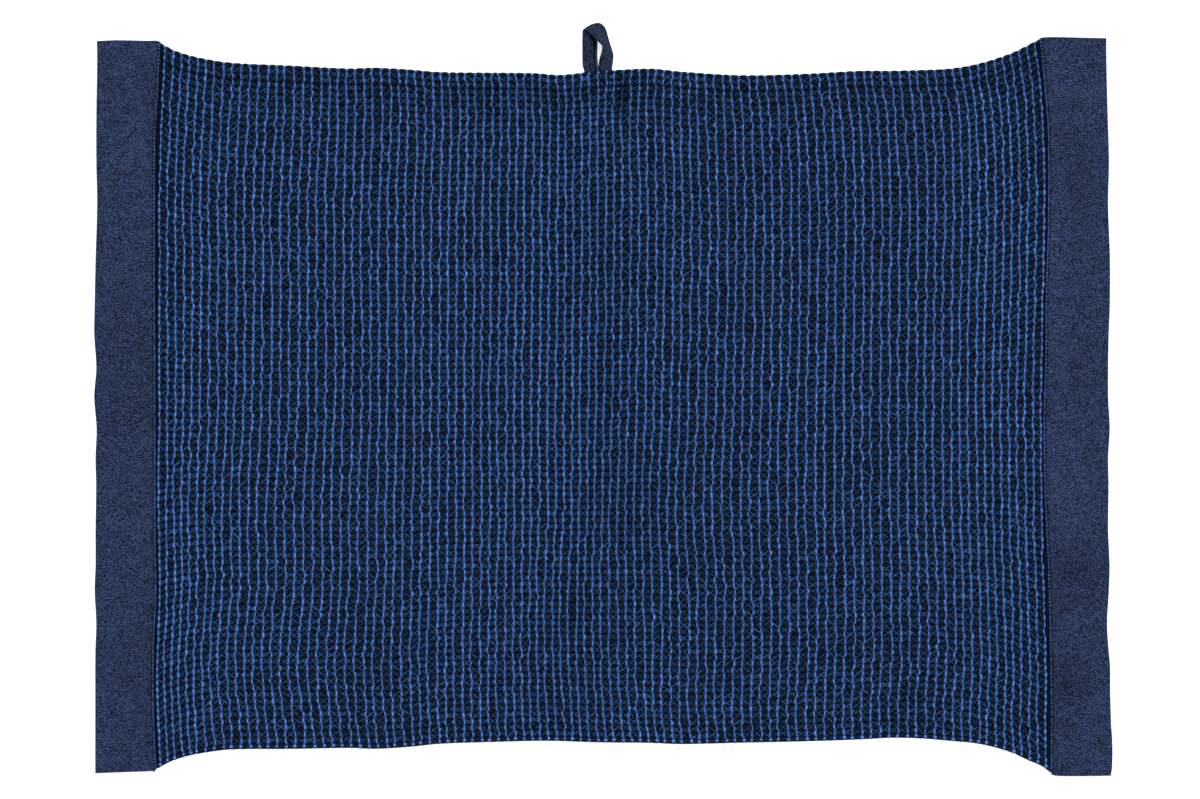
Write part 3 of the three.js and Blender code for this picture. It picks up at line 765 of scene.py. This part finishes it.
band_cloth, shader, wire, place = new_material("plain_band", 0.9, 0.08)
east, north = place.parts(2)
wander = place.noise(5) * 4
plain = (east * (math.pi / YARN_PITCH) + wander).sine() * (north * (math.pi / YARN_PITCH) + wander).sine()
amount = plain * 0.5 + 0.32 + (place.noise(0.85, 3) - 0.5) * 3.6 + (place.noise(9) - 0.5) * 0.4
# The tint holds the band's lighter and darker patches and the painted shade and light at the furrow and
# lip.
colour = scaled(wire, amount.between(0.0, 1.0).mix(BAND_DARK, BAND_BLUE), wire.attribute("tint"))
band_cloth.node_tree.links.new(colour.socket, shader.inputs["Base Color"])
bump = wire.node("Bump", {}, {"Strength": 0.6, "Distance": 0.0003, "Height": plain})
band_cloth.node_tree.links.new(bump.socket, shader.inputs["Normal"])

for side_name, column, inward in (("left", 1, 1), ("right", 2, -1)):
    band = hem("hem_" + side_name, column, inward)
    seam = stitches("stitches_" + side_name, column, inward)
    dress(band, band_cloth, "towel_cloth")
    dress(seam, weft_yarn, "towel_cloth")


# The hanging loop: narrow plain-woven tape, doubled and edge-stitched, folded over on itself at the
# top and sewn by both ends under the long edge. One side of it stands up off the other.
TAPE_STATIONS = np.array([  # first edge x, y, z, second edge x, y, z
    (-13.1, 215.5, 0.75, -3.05, 215.5, 0.75), (-13.3, 227.0, 0.75, -3.05, 229.0, 0.75),
    (-14.4, 231.6, 0.75, -4.0, 234.2, 0.75), (-14.6, 245.2, 0.75, -4.1, 245.9, 0.75),
    (-14.55, 252.1, 0.8, -4.1, 256.3, 0.9), (-14.2, 254.7, 2.0, -3.5, 259.6, 2.3),
    (-11.9, 254.8, 3.5, -0.6, 258.8, 3.9), (-8.6, 252.1, 5.3, 1.9, 255.2, 4.0),
    (-4.6, 247.8, 7.2, 3.3, 250.0, 2.4), (-0.8, 243.8, 8.2, 5.1, 243.8, 1.3),
    (-1.0, 240.0, 7.0, 6.5, 239.7, 1.15), (-1.95, 237.2, 5.5, 6.9, 236.9, 0.95),
    (-2.95, 233.8, 3.3, 6.6, 233.4, 0.8), (-3.15, 228.8, 0.9, 6.1, 228.6, 0.75),
    (-3.15, 215.5, 0.75, 6.1, 215.5, 0.75),
])
TAPE_HALF = 0.75
TAPE_ROUND = 0.4
TAPE_STEPS = 180
TAPE_RING = 28
TAPE_MAP_HALF = 5
TAPE_PITCH = 0.8
STITCH_LINE, STITCH_WIDTH, STITCH_DEPTH = 0.72, 0.08, 0.22
SHOULDER, SHOULDER_LENGTH, SHOULDER_BOW = 44, 4, 1.2
SEAM_SIDE = 2.95


def tape():
    """A flat rounded section carried along the tape's two edge curves: across it the point goes as
    cos^0.4 from edge to edge, and square to it as sin^0.4 times half the thickness, less a groove at
    each line of stitches. At the top fold the middle of the section bows out, by the bow times
    1 - across^2. Both ends are closed."""
    middle = (TAPE_STATIONS[:, :3] + TAPE_STATIONS[:, 3:]) / 2
    reach = np.r_[0, np.cumsum(np.linalg.norm(np.diff(middle, axis=0), axis=1) ** 0.5)]
    along = np.linspace(0, reach[-1], TAPE_STEPS)
    edges = np.stack([smooth(reach, TAPE_STATIONS[:, k], along) for k in range(6)], -1)
    first, second = edges[:, None, :3], edges[:, None, 3:]
    wide = second - first
    run = np.gradient((first + second) / 2, axis=0)
    up = np.cross(wide, run)
    up /= np.linalg.norm(up, axis=-1, keepdims=True)
    angle = np.linspace(0, 2 * np.pi, TAPE_RING, endpoint=False)
    flat = np.sign(np.cos(angle)) * np.abs(np.cos(angle)) ** TAPE_ROUND
    deep = np.sign(np.sin(angle)) * np.abs(np.sin(angle)) ** TAPE_ROUND
    seam = 1 - STITCH_DEPTH * np.exp(-(((np.abs(flat) - STITCH_LINE) / STITCH_WIDTH) ** 2))
    points = (first + second) / 2 + wide * flat[:, None] / 2 + up * (deep * seam)[:, None] * TAPE_HALF
    points[..., 2] = np.maximum(points[..., 2], 0)
    length = np.r_[0, np.cumsum(np.linalg.norm(np.diff(middle, axis=0), axis=1))]
    travelled = smooth(reach, length, along)[:, None]
    at_shoulder = np.exp(-(((travelled - SHOULDER) / SHOULDER_LENGTH) ** 2))
    points[..., 1] += SHOULDER_BOW * (1 - flat ** 2) * at_shoulder
    ring = np.arange(TAPE_STEPS - 1)[:, None] * TAPE_RING + np.arange(TAPE_RING)
    turn = np.arange(TAPE_STEPS - 1)[:, None] * TAPE_RING + (np.arange(TAPE_RING) + 1) % TAPE_RING
    sides = np.stack([ring, turn, turn + TAPE_RING, ring + TAPE_RING], -1).reshape(-1, 4)
    half = TAPE_RING // 2
    low = np.arange(half - 1)
    cap = np.stack([low, low + 1, TAPE_RING - 2 - low, TAPE_RING - 1 - low], -1)
    last = (TAPE_STEPS - 1) * TAPE_RING
    quads = np.concatenate([sides[:, ::-1], cap, cap[:, ::-1] + last])
    uv = np.stack(np.broadcast_arrays(flat * TAPE_MAP_HALF, travelled), -1).reshape(-1, 2)
    return points.reshape(-1, 3), quads, uv


TAPE_BLUE = (0.034, 0.052, 0.116, 1)
TAPE_DARK = (0.004, 0.006, 0.012, 1)

points, quads, tape_map = tape()
loop = new_piece("loop", points, quads, {"tape": tape_map})

# The tape's cut edge is turned in and stitched down a little inside its second edge. The line of
# stitches is deep and dark on the left leg, with a strip outside it painted lighter, and painted shade
# darkens the corner under the fold and the right leg's inner edge. The map holds mm across and along.
tape_cloth, shader, wire, place = new_material("loop_tape", 0.9, 0.08)
side, run = wire.node("UVMap", {"uv_map": "tape"}, {}).parts(2)
wave = (side * (math.pi / TAPE_PITCH)).sine() * (run * (math.pi / TAPE_PITCH)).sine()
amount = (wave * 0.25 + 0.42 + (place.noise(1.1, 3) - 0.5) * 3.0).between(0.0, 1.0)
left_leg = 1 - run.between(40, 42)
seam = (1 - abs(side - SEAM_SIDE).between(0.15, 0.8)) * left_leg * 0.95
fold_shadow = (side * 2 + run).between(33.4, 36.4) * (1 - (side * 0.9 + run).between(38.6, 39.6)) * 0.7
inner_edge_shade = (1 - side.between(-4.2, -3.3)) * run.between(66, 70) * 0.95
outer_strip_light = side.between(SEAM_SIDE + 0.4, SEAM_SIDE + 0.9) * left_leg * 1.1
light = (1 - seam) * (1 - fold_shadow) * (1 - inner_edge_shade) * (1.1 - left_leg * 0.14 + outer_strip_light)
colour = scaled(wire, amount.mix(TAPE_DARK, TAPE_BLUE), light)
tape_cloth.node_tree.links.new(colour.socket, shader.inputs["Base Color"])
bump = wire.node("Bump", {}, {"Strength": 0.5, "Distance": 0.0002, "Height": wave})
tape_cloth.node_tree.links.new(bump.socket, shader.inputs["Normal"])
dress(loop, tape_cloth, "hanging_loop")


# The table is a plain near-white board with a little light of its own, as on a light table. The room
# is lit from all round, with one broad soft light from the upper right that gives the yarns their form.
TABLE = (0.93, 0.93, 0.93, 1)
TABLE_HALF = 8000
SKY = 0.72
SUN, SUN_SIZE, SUN_LEAN = 1.5, 30, (-24, 20, 0)
GLOW = 0.55

half = TABLE_HALF * MM
board_corners = [(-half, -half, 0), (half, -half, 0), (half, half, 0), (-half, half, 0)]
floor_mesh = bpy.data.meshes.new("floor")
floor_mesh.from_pydata(board_corners, [], [(0, 1, 2, 3)])
floor = bpy.data.objects.new("floor", floor_mesh)
bpy.context.collection.objects.link(floor)
board = bpy.data.materials.new("floor")
board.use_nodes = True
board_look = {"Base Color": TABLE, "Roughness": 0.9, "Emission Color": TABLE, "Emission Strength": GLOW}
for socket, value in board_look.items():
    board.node_tree.nodes["Principled BSDF"].inputs[socket].default_value = value
floor_mesh.materials.append(board)

world = bpy.data.worlds.new("room")
world.use_nodes = True
world.node_tree.nodes["Background"].inputs["Color"].default_value = (1, 1, 1, 1)
world.node_tree.nodes["Background"].inputs["Strength"].default_value = SKY
bpy.context.scene.world = world

sun = bpy.data.objects.new("sun", bpy.data.lights.new("sun", "SUN"))
sun.data.energy = SUN
sun.data.angle = math.radians(SUN_SIZE)
sun.rotation_euler = [math.radians(angle) for angle in SUN_LEAN]
bpy.context.collection.objects.link(sun)
